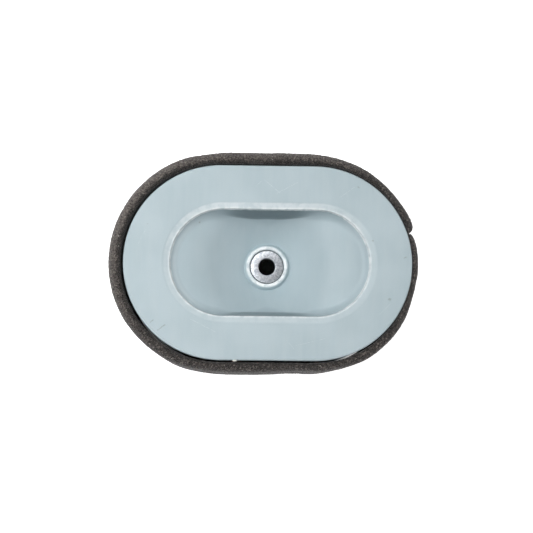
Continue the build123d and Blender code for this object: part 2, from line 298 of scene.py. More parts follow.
class Material:
    """A node material that is written from left to right: each call adds a node and gives its output."""

    def __init__(self, name):
        self.data = bpy.data.materials.new(name)
        self.data.use_nodes = True
        self.tree = self.data.node_tree
        self.shader = self.tree.nodes["Principled BSDF"]
        self.place = self.node("ShaderNodeTexCoord").outputs["Object"]

    def node(self, kind, options=None, **inputs):
        made = self.tree.nodes.new(kind)
        for key, value in (options or {}).items():
            setattr(made, key, value)
        for key, value in inputs.items():
            self.feed(made.inputs[key.replace("_", " ")], value)
        return made

    def feed(self, socket, value):
        if isinstance(value, bpy.types.NodeSocket):
            self.tree.links.new(value, socket)
        else:
            socket.default_value = value

    def noise(self, size, detail=3.0, roughness=0.55, distortion=0.0, place=None):
        """Cloudy noise with lumps of about size millimetres, from 0 to 1."""
        made = self.node(
            "ShaderNodeTexNoise", Scale=1 / (size * MM), Detail=detail, Roughness=roughness,
            Distortion=distortion, Vector=place or self.place,
        )
        return made.outputs[0]

    def cells(self, size, feature="F1"):
        """Distance in a cell pattern with cells of about size millimetres."""
        made = self.node(
            "ShaderNodeTexVoronoi", {"feature": feature}, Scale=1 / (size * MM), Vector=self.place,
        )
        return made.outputs["Distance"]

    def math(self, operation, a, b=0.0):
        made = self.node("ShaderNodeMath", {"operation": operation})
        self.feed(made.inputs[0], a)
        self.feed(made.inputs[1], b)
        return made.outputs[0]

    def times(self, a, b):
        return self.math("MULTIPLY", a, b)

    def plus(self, a, b):
        return self.math("ADD", a, b)

    def minus(self, a, b):
        return self.math("SUBTRACT", a, b)

    def ramp(self, value, low, high, to_low=0.0, to_high=1.0):
        """Smooth step: low and below give to_low, high and above give to_high."""
        made = self.node(
            "ShaderNodeMapRange", {"interpolation_type": "SMOOTHSTEP"}, Value=value, From_Min=low,
            From_Max=high, To_Min=to_low, To_Max=to_high,
        )
        return made.outputs[0]

    def mix(self, share, first, second):
        made = self.node("ShaderNodeMix", {"data_type": "RGBA"})
        self.feed(made.inputs[0], share)
        self.feed(made.inputs[6], colour(first))
        self.feed(made.inputs[7], colour(second))
        return made.outputs[2]

    def over(self, base, mask, share, tone):
        """Base with a share of a tone laid over it where the mask is 1."""
        return self.mix(self.times(mask, share), base, tone)

    def attribute(self, name):
        return self.node("ShaderNodeAttribute", {"attribute_name": name}).outputs["Fac"]

    def stretched(self, x, y, z):
        """Object coordinates scaled along each axis, for grain and streaks."""
        return self.node("ShaderNodeMapping", Vector=self.place, Scale=(x, y, z)).outputs[0]

    def bump(self, height, depth, normal=None):
        """Bump of depth millimetres where height goes from 0 to 1."""
        made = self.node("ShaderNodeBump", Strength=1.0, Distance=depth * MM, Height=height)
        if normal is not None:
            self.feed(made.inputs["Normal"], normal)
        return made.outputs[0]

    def finish(self, **sockets):
        for key, value in sockets.items():
            socket = self.shader.inputs[key.replace("_", " ")]
            self.feed(socket, colour(value) if key.endswith("Color") else value)
        return self.data


def colour(value):
    """A socket stays as it is; an sRGB triple from 0 to 255 becomes linear RGBA."""
    if isinstance(value, bpy.types.NodeSocket):
        return value
    share = np.array(value, float) / 255
    linear = np.where(share <= 0.04045, share / 12.92, ((share + 0.055) / 1.055) ** 2.4)
    return (*linear.tolist(), 1.0)


# Scratches and marks on the end cap: x and y of both ends, half width
LIGHT_SCRATCHES = (
    (-2.0, 39.2, 5.3, 33.0, 0.10),
    (4.0, 32.8, 14.0, 38.3, 0.09),
    (-6.0, 36.0, -3.5, 38.5, 0.06),
    (33.5, 31.0, 41.0, 36.5, 0.07),
    (-36.0, -27.0, -24.0, -33.0, 0.08),
    (13.0, -39.0, 27.0, -35.5, 0.07),
    (9.0, -36.5, 12.5, -40.5, 0.05),
    (52.5, -24.0, 58.0, -18.5, 0.06),
    (-61.0, 8.0, -57.5, 15.0, 0.06),
)
DARK_MARKS = (
    (-51.3, -32.4, -47.8, -29.8, 0.16),
    (-54.6, -28.8, -53.3, -27.6, 0.14),
    (64.0, 2.7, 65.2, 3.3, 0.16),
    (49.2, 10.8, 49.5, 10.8, 0.28),
    (42.2, 36.4, 42.9, 35.8, 0.18),
    (57.0, -17.0, 57.4, -16.8, 0.45),
    (-32.6, 19.3, -32.3, 19.4, 0.22),
    (-56.8, 17.5, -56.5, 17.6, 0.16),
)


def marks_mask(paint, marks):
    """1 on each short straight mark of the end cap, 0 elsewhere."""
    split = paint.node("ShaderNodeSeparateXYZ", Vector=paint.place).outputs
    wobble = paint.times(paint.minus(paint.noise(1.6), 0.5), 0.35 * MM)
    total = None
    for x0, y0, x1, y1, half_width in marks:
        length = hypot(x1 - x0, y1 - y0)
        ux, uy = (x1 - x0) / length, (y1 - y0) / length
        dx = paint.minus(split[0], (x0 + x1) / 2 * MM)
        dy = paint.minus(split[1], (y0 + y1) / 2 * MM)
        along = paint.plus(paint.times(dx, ux), paint.times(dy, uy))
        across = paint.minus(paint.times(dy, ux), paint.times(dx, uy))
        beside = paint.math("ABSOLUTE", paint.plus(across, wobble))
        beyond = paint.minus(paint.math("ABSOLUTE", along), length / 2 * MM)
        distance = paint.plus(beside, paint.math("MAXIMUM", beyond, 0.0))
        one = paint.ramp(distance, half_width * MM, 2.2 * half_width * MM, 1.0, 0.0)
        total = one if total is None else paint.math("MAXIMUM", total, one)
    return total


def cap_paint():
    """Semi-gloss blue-grey paint on pressed steel, lightly scuffed."""
    paint = Material("cap_paint")
    cloud = paint.noise(26, detail=2)
    streak = paint.noise(3.0, place=paint.stretched(1.0, 0.12, 1.0))
    grain = paint.noise(0.35, detail=2)
    base = paint.mix(paint.ramp(cloud, 0.35, 0.68), (176, 193, 199), (184, 200, 206))
    base = paint.mix(paint.ramp(streak, 0.3, 0.75, 0.0, 0.35), base, (190, 203, 207))
    base = paint.mix(paint.ramp(grain, 0.25, 0.8, 0.0, 0.25), base, (166, 182, 188))
    # pale dust specks in a cell pattern
    dust_and_painted_light = paint.ramp(paint.cells(2.6), 0.045, 0.02)
    base = paint.over(base, dust_and_painted_light, 0.35, (214, 222, 224))
    # painted shade: the recess inside the wall's top is darkened a little
    base = paint.over(base, paint.attribute("sunk"), 0.25, (150, 170, 178))
    # painted shade on the recess walls beside the stud's centre line
    base = paint.over(base, paint.attribute("wall_painted_shade"), 0.7, (92, 106, 112))
    # painted light on the left lobe's floor along the wall's foot, lifting the shade that falls there
    base = paint.over(base, paint.attribute("dust_and_painted_light"), 0.6, (214, 228, 233))
    # rubbed-bright bends: partly worn paint, partly painted highlight, on the wall's top bend, the shoulder
    # and the collar's crest
    patches = paint.ramp(paint.noise(3.2, detail=4), 0.32, 0.62, 0.45, 1.15)
    worn = paint.times(paint.attribute("edge"), patches)
    base = paint.over(base, worn, 0.85, (246, 250, 251))
    scratches = paint.times(marks_mask(paint, LIGHT_SCRATCHES), paint.ramp(paint.noise(0.8), 0.35, 0.6))
    base = paint.over(base, scratches, 0.4, (222, 230, 232))
    marks = paint.times(marks_mask(paint, DARK_MARKS), paint.ramp(paint.noise(0.5), 0.3, 0.6))
    base = paint.over(base, marks, 0.55, (118, 126, 122))
    rough = paint.ramp(paint.noise(7, detail=4), 0.3, 0.7, 0.46, 0.58)
    rough = paint.plus(rough, paint.times(worn, 0.15))
    peel = paint.bump(paint.noise(1.1, detail=2), 0.012)
    scuff = paint.bump(paint.math("MAXIMUM", scratches, marks), 0.03, peel)
    return paint.finish(Base_Color=base, Roughness=rough, Normal=scuff, Coat_Weight=0.05, Coat_Roughness=0.3)


def channel_paint():
    """The same paint on the bottom cap, where it is scraped on the outer bend."""
    paint = Material("channel_paint")
    cloud = paint.noise(18, detail=3)
    base = paint.mix(paint.ramp(cloud, 0.35, 0.68), (172, 187, 192), (184, 198, 202))
    grain = paint.noise(0.35, detail=2)
    base = paint.mix(paint.ramp(grain, 0.25, 0.8, 0.0, 0.25), base, (160, 176, 182))
    scrape = paint.noise(0.7, detail=3, place=paint.stretched(1, 1, 3))
    worn = paint.times(paint.attribute("edge"), paint.ramp(scrape, 0.52, 0.66))
    base = paint.over(base, worn, 0.8, (150, 152, 152))
    rough = paint.ramp(paint.noise(7, detail=4), 0.3, 0.7, 0.32, 0.45)
    peel = paint.bump(paint.noise(1.1, detail=2), 0.012)
    return paint.finish(Base_Color=base, Roughness=rough, Normal=peel, Coat_Weight=0.25, Coat_Roughness=0.22)


def zinc():
    """Zinc-plated turned steel with a mottled, slightly iridescent passivation."""
    metal = Material("zinc")
    blotch = metal.noise(1.5, detail=5, roughness=0.7)
    fine = metal.noise(0.35, detail=3)
    base = metal.mix(metal.ramp(blotch, 0.35, 0.65), (158, 164, 172), (226, 229, 232))
    tint = metal.ramp(metal.noise(0.9, detail=3, distortion=1.0), 0.5, 0.72)
    base = metal.over(base, tint, 0.35, (150, 156, 182))
    base = metal.over(base, metal.ramp(fine, 0.62, 0.75), 0.6, (96, 98, 106))
    rough = metal.ramp(blotch, 0.3, 0.7, 0.48, 0.3)
    pits = metal.bump(metal.plus(metal.times(blotch, 0.6), fine), 0.035)
    return metal.finish(Base_Color=base, Metallic=0.85, Roughness=rough, Normal=pits)


def galvanised():
    """Galvanised expanded metal: dull spangle and a few white-rust spots."""
    metal = Material("galvanised_mesh")
    spangle = metal.node("ShaderNodeTexVoronoi", Scale=1 / (2.2 * MM), Vector=metal.place)
    shade = metal.node("ShaderNodeRGBToBW", Color=spangle.outputs["Color"]).outputs[0]
    base = metal.mix(shade, (138, 141, 144), (182, 185, 187))
    rust = metal.ramp(metal.noise(1.1, detail=5), 0.6, 0.72)
    base = metal.over(base, rust, 0.5, (214, 214, 210))
    rough = metal.ramp(shade, 0.1, 0.9, 0.36, 0.52)
    grain = metal.bump(metal.noise(0.3, detail=3), 0.02)
    return metal.finish(Base_Color=base, Metallic=0.8, Roughness=rough, Normal=grain)


def clip_metal():
    """Tinned strip, drawn lengthwise."""
    metal = Material("clip_metal")
    drawn = metal.noise(0.5, detail=3, place=metal.stretched(1, 1, 0.05))
    base = metal.mix(drawn, (168, 170, 172), (206, 208, 209))
    smudge = metal.ramp(metal.noise(2.5, detail=4), 0.55, 0.75)
    base = metal.over(base, smudge, 0.4, (140, 138, 132))
    lines = metal.bump(drawn, 0.02)
    rough = metal.ramp(drawn, 0.2, 0.8, 0.3, 0.45)
    return metal.finish(Base_Color=base, Metallic=0.9, Roughness=rough, Normal=lines)


def potting():
    """Cast off-white plastisol with small bubbles."""
    resin = Material("potting")
    cloud = resin.noise(6, detail=4)
    base = resin.mix(resin.ramp(cloud, 0.3, 0.7), (205, 204, 192), (224, 222, 212))
    bubbles = resin.ramp(resin.cells(1.7), 0.16, 0.1)
    base = resin.over(base, bubbles, 0.4, (168, 164, 150))
    skin = resin.minus(resin.noise(2.0, detail=3), resin.times(bubbles, 0.8))
    return resin.finish(Base_Color=base, Roughness=resin.ramp(cloud, 0.3, 0.7, 0.3, 0.42),
                        Normal=resin.bump(skin, 0.08), Subsurface_Weight=0.1, Subsurface_Scale=0.002)


def filter_paper():
    """Cellulose filter paper: fibres, cured resin tint and embossed cross ribs."""
    paper = Material("filter_paper")
    fibre = paper.noise(0.5, detail=5, roughness=0.7, distortion=2.0)
    cloud = paper.noise(9, detail=3)
    base = paper.mix(paper.ramp(cloud, 0.3, 0.7), (214, 192, 138), (228, 208, 158))
    base = paper.mix(paper.ramp(fibre, 0.3, 0.7, 0.0, 0.45), base, (188, 160, 104))
    ribs = paper.node("ShaderNodeTexWave", {"bands_direction": "Z", "wave_profile": "SIN"},
                      Scale=1 / (7.5 * MM), Distortion=0.4, Vector=paper.place).outputs["Fac"]
    emboss = paper.bump(ribs, 0.12)
    weave = paper.bump(fibre, 0.06, emboss)
    return paper.finish(Base_Color=base, Roughness=0.85, Normal=weave, Sheen_Weight=0.1,
                        Specular_IOR_Level=0.25)


def rubber():
    """Black moulded rubber, chalky in the hollows."""
    black = Material("black_rubber")
    bloom = black.ramp(black.noise(4, detail=5), 0.45, 0.75)
    base = black.mix(bloom, (26, 26, 27), (50, 50, 50))
    specks = black.ramp(black.cells(1.9), 0.05, 0.025)
    base = black.over(base, specks, 0.5, (120, 118, 112))
    skin = black.bump(black.noise(0.5, detail=3), 0.03)
    return black.finish(Base_Color=base, Roughness=black.ramp(bloom, 0.0, 1.0, 0.5, 0.72), Normal=skin)


def foam_material():
    """Open-cell polyurethane foam: cell walls round pores painted dark, with painted glints and painted
    shade for its small relief.
    """
    foam = Material("foam")
    wall = foam.cells(0.7, "DISTANCE_TO_EDGE")
    # painted shade in the pores
    pores = foam.ramp(wall, 0.03, 0.22)
    shade = foam.noise(0.85, detail=2, roughness=0.6)
    cloud = foam.noise(9, detail=3)
    base = foam.mix(foam.ramp(cloud, 0.3, 0.7), (60, 55, 52), (72, 66, 62))
    base = foam.over(base, pores, 0.85, (20, 19, 18))
    # painted light on the outer rim of the sleeve's top, strongest on the side towards the light
    base = foam.over(base, foam.attribute("rim"), 0.5, (152, 144, 138))
    # painted highlights on the cell walls, stronger on the sleeve's top than on its sides
    glint = foam.ramp(shade, 0.53, 0.66)
    glint = foam.times(glint, foam.ramp(foam.attribute("top"), 0.0, 1.0, 0.36, 0.62))
    base = foam.mix(glint, base, (162, 152, 145))
    # painted shade in the cavities between the cells
    cavity = foam.ramp(shade, 0.48, 0.34)
    base = foam.over(base, cavity, 0.75, (12, 11, 11))
    # painted shade in the pores and in the crevice along the sleeve's inner top edge
    base = foam.over(base, foam.attribute("painted_hollow_shade"), 0.7, (26, 24, 23))
    lint = foam.ramp(foam.cells(5.5), 0.062, 0.035)
    base = foam.over(base, lint, 0.8, (200, 196, 188))
    height = foam.minus(foam.times(shade, 0.6), pores)
    return foam.finish(Base_Color=base, Roughness=0.95, Normal=foam.bump(height, 0.28), Sheen_Weight=0.3,
                       Sheen_Roughness=0.5, Specular_IOR_Level=0.15)


def glue_material():
    """Cured contact glue soaked into the foam."""
    glue = Material("glue")
    soak = glue.noise(0.7, detail=4)
    base = glue.mix(glue.ramp(soak, 0.3, 0.7), (30, 27, 24), (58, 52, 46))
    return glue.finish(Base_Color=base, Roughness=glue.ramp(soak, 0.3, 0.7, 0.35, 0.6),
                       Normal=glue.bump(soak, 0.12))


# End cap

def rounded_min(a, b, size):
    """The smaller of two distances, with the corner between their surfaces rounded."""
    return size - np.hypot(np.maximum(size - a, 0), np.maximum(size - b, 0))


def round_size(radius, turn):
    """The size that makes rounded_min turn a corner by an angle with about that radius."""
    return radius * tan(turn / 2) * sin(turn)


def oval_distance(x, y):
    """Radius of the stadium that passes through a point."""
    return np.hypot(np.maximum(np.abs(x) - HALF_STRAIGHT, 0), y)


def bowl_height(x, y):
    """Floor of the recess: an oval bowl round the stud hole that rises to a level lobe at each end."""
    x = np.hypot(x, BOWL_SQUASH * y)
    low_x = BOWL_ROUND * sin(BOWL_SLOPE)
    flank_low = BOWL_Z + BOWL_ROUND * (1 - cos(BOWL_SLOPE))
    flank_high = LOBE_Z - CREST_ROUND * (1 - cos(BOWL_SLOPE))
    high_x = low_x + (flank_high - flank_low) / tan(BOWL_SLOPE)
    lobe_x = high_x + CREST_ROUND * sin(BOWL_SLOPE)
    bottom = BOWL_Z + BOWL_ROUND - np.sqrt(np.maximum(BOWL_ROUND ** 2 - x ** 2, 0))
    flank = flank_low + (x - low_x) * tan(BOWL_SLOPE)
    crest = LOBE_Z - CREST_ROUND + np.sqrt(np.maximum(CREST_ROUND ** 2 - (lobe_x - x) ** 2, 0))
    return np.select([x < low_x, x < high_x, x < lobe_x], [bottom, flank, crest], LOBE_Z)


def metal_depth(x, y, z):
    """About how far a point lies under the end cap's outer skin."""
    step = 0.05
    distance = oval_distance(x - RECESS_X, y)
    floor = bowl_height(x, y)
    slope_x = (bowl_height(x + step, y) - bowl_height(x - step, y)) / (2 * step)
    slope_y = (bowl_height(x, y + step) - bowl_height(x, y - step)) / (2 * step)
    above_floor = (z - floor) / np.sqrt(1 + slope_x ** 2 + slope_y ** 2)
    inside_wall = (WALL_RADIUS - (WALL_TOP_Z - z) * tan(WALL_DRAFT) - distance) * cos(WALL_DRAFT)
    foot = FOOT_ROUND + (CENTRE_FOOT_ROUND - FOOT_ROUND) * bell(x, CENTRE_FOOT_SPAN)
    to_lobe = rise(np.abs(x), LOBE_START, LOBE_END)
    foot = foot + (LOBE_FOOT_ROUND - FOOT_ROUND) * to_lobe ** 2 * (3 - 2 * to_lobe)
    pocket = rounded_min(above_floor, inside_wall, foot * round_size(1.0, pi / 2 - WALL_DRAFT))
    dip = atan2(SHOULDER_DROP, SHOULDER_RADIUS - WALL_RADIUS)
    cone = np.maximum(WALL_TOP_Z + (distance - WALL_RADIUS) * tan(dip), LOBE_Z + 0.8)
    shoulder = (z - cone) * cos(dip)
    flat = rounded_min(TOP_Z - z, -shoulder, round_size(SHOULDER_ROUND, dip))
    return rounded_min(flat, -pocket, round_size(WALL_ROUND, pi / 2 - WALL_DRAFT - dip))


def cap_height(x, y):
    """Height of the end cap's skin over each point, by halving the interval."""
    low = np.full(np.shape(x), BOWL_Z - 3)
    high = np.full(np.shape(x), TOP_Z + 0.001)
    for _ in range(26):
        middle = (low + high) / 2
        inside = metal_depth(x, y, middle) > 0
        low = np.where(inside, middle, low)
        high = np.where(inside, high, middle)
    return (low + high) / 2


def collar_height(radius):
    """Height of the rolled ring round the stud hole, outside its crest."""
    outside = np.clip((radius - COLLAR_CREST) / (COLLAR_FOOT - COLLAR_CREST), 0, 1.6)
    return COLLAR_TOP_Z - 3.4 * outside ** 2.2


# Small raised nibs and dings that catch the light: x, y, height, spread
CAP_DINGS = (
    (-31.8, -23.4, 0.10, 0.5),
    (47.6, -1.6, 0.09, 0.5),
    (-29.9, 27.6, -0.10, 0.6),
    (-15.0, 26.6, 0.07, 0.5),
    (-9.5, 26.9, 0.06, 0.5),
    (4.5, 26.8, 0.07, 0.6),
    (-44.0, 17.5, 0.05, 0.6),
)


def dings(x, y):
    total = np.zeros(np.shape(x))
    for place_x, place_y, height, spread in CAP_DINGS:
        total += height * bell(np.hypot(x - place_x, y - place_y), spread)
    return total


def section_radii(stations, outer, inner, count):
    """For each station, radii from outer to inner, spread evenly along the skin's section and its bends."""
    bend_weight = 1.1
    dense = np.linspace(outer, inner, 420)
    climb = np.diff(cap_height(*oval_points(stations, dense[:, None])).T, axis=1)
    run = np.diff(dense)
    heading = np.arctan2(climb, -run * np.ones_like(climb))
    turn = np.abs(np.diff(heading, axis=1, prepend=heading[:, :1]))
    weight = np.cumsum(np.hypot(run, climb) + bend_weight * turn, axis=1)
    weight = np.hstack([np.zeros((len(stations), 1)), weight])
    weight /= weight[:, -1:]
    shares = np.linspace(0, 1, count)
    return np.array([np.interp(shares, w, dense) for w in weight])


def end_cap(material):
    """Pressed end cap: flange, rolled edge, flat, shoulder, deep recess and collar round the stud hole."""
    stations = oval_stations(44, 104)
    flat_end = SHOULDER_RADIUS + 1.6
    last_oval_radius = 16.5
    first_circle_radius = 12.6
    rows = []

    def oval_row(radius, z):
        x, y = oval_points(stations, radius)
        rows.append(np.stack([x, y, z + 0 * x], -1))

    for z in np.linspace(TOP_Z - CAP_FLANGE, TOP_Z - CAP_EDGE_BEND, 5)[:-1]:
        oval_row(CAP_RADIUS, z)
    for turn in np.linspace(0, pi / 2, 7):
        oval_row(CAP_RADIUS - CAP_EDGE_BEND * (1 - cos(turn)), TOP_Z - CAP_EDGE_BEND * (1 - sin(turn)))
    for radius in np.linspace(CAP_RADIUS - CAP_EDGE_BEND, flat_end, 10)[1:-1]:
        oval_row(radius, TOP_Z)
    for radius in section_radii(stations, flat_end, last_oval_radius, 66).T:
        oval_row(radius, cap_height(*oval_points(stations, radius)))

    last_oval = rows[-1][:, :2]
    turn = np.arctan2(last_oval[:, 1], last_oval[:, 0])
    circle = np.stack([np.cos(turn), np.sin(turn)], -1)
    for share in np.linspace(1, 0, 26)[1:]:
        rows.append(floor_row(last_oval * share + circle * first_circle_radius * (1 - share)))
    for radius in np.linspace(first_circle_radius, COLLAR_CREST, 20)[1:]:
        rows.append(floor_row(circle * radius))
    crest_in = COLLAR_CREST - SEAT_RADIUS
    hole_rows = [
        (COLLAR_CREST - crest_in * sin(lean), COLLAR_TOP_Z - crest_in * (1 - cos(lean)))
        for lean in np.linspace(0, pi / 2, 6)[1:]
    ]
    hole_rows += [(SEAT_RADIUS, SEAT_Z + 0.5), (SEAT_RADIUS, SEAT_Z + 0.1), (SEAT_RADIUS - 0.1, SEAT_Z)]
    hole_rows += [(SEAT_RADIUS - 1.2, SEAT_Z), (SHANK_HOLE, SEAT_Z)]
    for radius, z in hole_rows:
        rows.append(np.column_stack([circle * radius, np.full(len(circle), z)]))

    points = np.array(rows)
    piece = make_piece("end_cap", points, grid_faces(len(rows), len(stations)), material)
    add_cap_wear_and_painted_light(piece, *points.transpose(2, 0, 1))
    solidify(piece, SHEET, -1)
    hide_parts("top_end_cap")


def add_cap_wear_and_painted_light(piece, x, y, z):
    """Marks where the end cap's paint is rubbed bright, partly worn and partly painted highlight, where
    painted shade darkens the recess and its walls, and where painted light lifts the left lobe's floor.
    """
    distance = oval_distance(x - RECESS_X, y)
    # bright line on the wall's top bend: partly worn paint, partly painted highlight
    wall_bend = 0.85 * bell(distance - WALL_RADIUS - 0.4, 0.65)
    # the shoulder's bright line is painted highlight, stronger towards the far side and the left, where the
    # light falls
    shoulder = rise(distance, SHOULDER_RADIUS - 0.3, SHOULDER_RADIUS - 0.9) * (distance > WALL_RADIUS)
    shoulder = shoulder * (0.15 + 0.25 * rise(y, 0, 22)) * (1 - 0.65 * rise(x, 15, 45))
    # the collar's crest is white all round: painted highlight with some wear
    collar_crest = bell(np.hypot(x, y) - COLLAR_CREST, 1.0, power=4)
    add_attribute(piece, "edge", (wall_bend + shoulder) * (z > TOP_Z - 3.0) + collar_crest)
    # sunk: painted shade over the recess floor and walls
    add_attribute(piece, "sunk", rise(distance, WALL_RADIUS - 0.4, WALL_RADIUS - 1.0))
    off_wall = WALL_RADIUS - (WALL_TOP_Z - z) * tan(WALL_DRAFT) - distance
    # painted shade on the steep walls near the stud's centre line, darker on the far wall than the near one
    wall = rise(off_wall, 0.36, 0.06) * rise(z, WALL_TOP_Z - 1.2, WALL_TOP_Z - 2.0)
    add_attribute(piece, "wall_painted_shade", wall * bell(x, 19, power=6) * np.where(y > 0, 1.0, 0.7))
    # painted light on the left lobe's floor along the wall's foot
    add_attribute(piece, "dust_and_painted_light", rise(x, -24, -38) * bell(off_wall - 0.6, 1.2))


def floor_row(places):
    """Points on the recess floor or the collar's outer slope, whichever is higher, with a soft foot."""
    x, y = places[:, 0], places[:, 1]
    floor = cap_height(x, y)
    collar = collar_height(np.hypot(x, y))
    soft = 0.9
    share = rise(collar - floor, -soft, soft)
    z = floor * (1 - share) + collar * share + soft * share * (1 - share)
    return np.column_stack([x, y, z + dings(x, y)])


# Bush and washers

def stud_bush(material):
    """Turned bush: wide flange above the seat, shank through the cap, clinched lip below the washer."""
    clinch_top = backing_low[2]
    flange_low = seal_high[2]
    profile = rounded_loop([
        (BORE_RADIUS, bush_low[2], 0.25),
        (CLINCH_RADIUS, bush_low[2], 0.3),
        (CLINCH_RADIUS, clinch_top, 0.25),
        (BUSH_SHANK, clinch_top, 0.05),
        (BUSH_SHANK, flange_low, 0.05),
        (BUSH_FLANGE, flange_low, 0.2),
        (BUSH_FLANGE, bush_high[2] - BUSH_CONE, 0.3),
        (BORE_RADIUS, bush_high[2], 0.3),
    ], steps=4)
    piece = sweep("stud_bush_turned", profile, round_stations(144), material)
    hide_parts("stud_bush")


def ring_piece(name, node, low, high, edge, material):
    """A flat washer round the bush's shank, with softened edges, between the corners of its CAD node."""
    inner, outer = BUSH_SHANK, high[0]
    corners = [(inner, low[2], edge), (outer, low[2], edge), (outer, high[2], edge), (inner, high[2], edge)]
    piece = sweep(name, rounded_loop(corners, steps=3), round_stations(120), material)
    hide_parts(node)


# Filter pack

def pleat_path():
    """Middle line of the folded paper, each fold a small round turn."""
    inner = oval_stations(PLEATS_PER_SIDE, PLEATS_PER_END)
    outer = oval_stations(PLEATS_PER_SIDE, PLEATS_PER_END, shift=0.5)
    corners = []
    for pair in zip(inner, outer):
        for (x, angle), radius in zip(pair, (PLEAT_INNER, PLEAT_OUTER)):
            for aside in (-FOLD_HALF, FOLD_HALF):
                corners.append((
                    x + radius * cos(angle) - aside * sin(angle),
                    radius * sin(angle) + aside * cos(angle),
                    FOLD_ROUND,
                ))
    return rounded_loop(corners, steps=2)


def pleated_paper(material):
    """Folded strip whose legs sway a little between the two pottings."""
    path = pleat_path()
    line = []
    for i, here in enumerate(path):
        leg = path[(i + 1) % len(path)] - here
        line.append(here)
        if np.linalg.norm(leg) > 3:
            line += [here + leg * share for share in (0.2, 0.4, 0.6, 0.8)]
    line = np.array(line)
    rows = []
    for height in np.linspace(-1, 1, 15):
        z = (paper_low[2] + paper_high[2]) / 2 + height * (paper_high[2] - paper_low[2]) / 2
        sway = np.array([noise.noise_vector(Vector((x / 4, y / 4, z / 14))).xy for x, y in line])
        rows.append(np.column_stack([line + 0.3 * (1 - height ** 2) * sway, np.full(len(line), z)]))
    piece = make_piece("pleated_paper", np.array(rows), grid_faces(len(rows), len(line)), material)
    solidify(piece, PAPER, 0)
    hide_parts("pleated_element")


def clip_side(offset, pinch, lean):
    """Section of one leg of the clip at an offset from the paper, as (sideways, inward) places."""
    shut = offset - pinch
    crown = FOLD_HALF + offset * (1 - sin(lean)) / cos(lean)
    tip = FOLD_HALF + shut * cos(lean) + CLIP_LEG * sin(lean)
    depth = CLIP_LEG * cos(lean) - shut * sin(lean)
    half_way = ((crown + tip) / 2 - pinch / 2, depth / 2)
    return [(crown * 0.75, -offset), (crown, -offset + 0.12), half_way, (tip, depth)]


def seam_clip(material):
    """Crimped V strip over the fold where the paper's ends meet."""
    pitch = 2 * HALF_STRAIGHT / PLEATS_PER_SIDE
    lean = atan2(pitch / 2 - 2 * FOLD_HALF, PLEAT_OUTER - PLEAT_INNER)
    inner = PAPER / 2 + 0.02
    rows = []
    for z in np.linspace(clip_low[2], clip_high[2], 61):
        pinch = CRIMP_DEPTH * (0.5 + 0.5 * cos(2 * pi * (z - clip_low[2]) / CRIMP_PITCH)) ** 4
        right = clip_side(inner + CLIP_THICK, pinch, lean) + clip_side(inner, pinch, lean)[::-1]
        left = [(-aside, depth) for aside, depth in right[::-1]]
        rows.append([(pitch / 2 + aside, depth - PLEAT_OUTER, z) for aside, depth in right + left])
    points = np.array(rows)
    count = points.shape[1]
    faces = grid_faces(len(rows), count)
    half = count // 2
    for base in (0, (len(rows) - 1) * count):
        for start, end in ((base, base + half - 1), (base + half, base + count - 1)):
            for k in range(half // 2 - 1):
                faces.append((start + k, start + k + 1, end - 1 - k, end - k))
        faces.append((base, base + half - 1, base + half, base + count - 1))
    piece = make_piece("pleat_seam_clip_crimped", points, faces, material, smooth=False)
    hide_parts("pleat_seam_clip")


def perimeter_point(share, per_side, per_end, radius):
    """Point on an oval at a place counted in mesh diamonds, anticlockwise from the near side's left end."""
    share = share % (2 * (per_side + per_end))
    turn, side = -pi / 2, 1
    if share >= per_side + per_end:
        share -= per_side + per_end
        turn, side = pi / 2, -1
    x = side * 2 * HALF_STRAIGHT * (min(share / per_side, 1) - 0.5)
    angle = turn + pi * max(share - per_side, 0) / per_end
    return x + radius * cos(angle), radius * sin(angle)


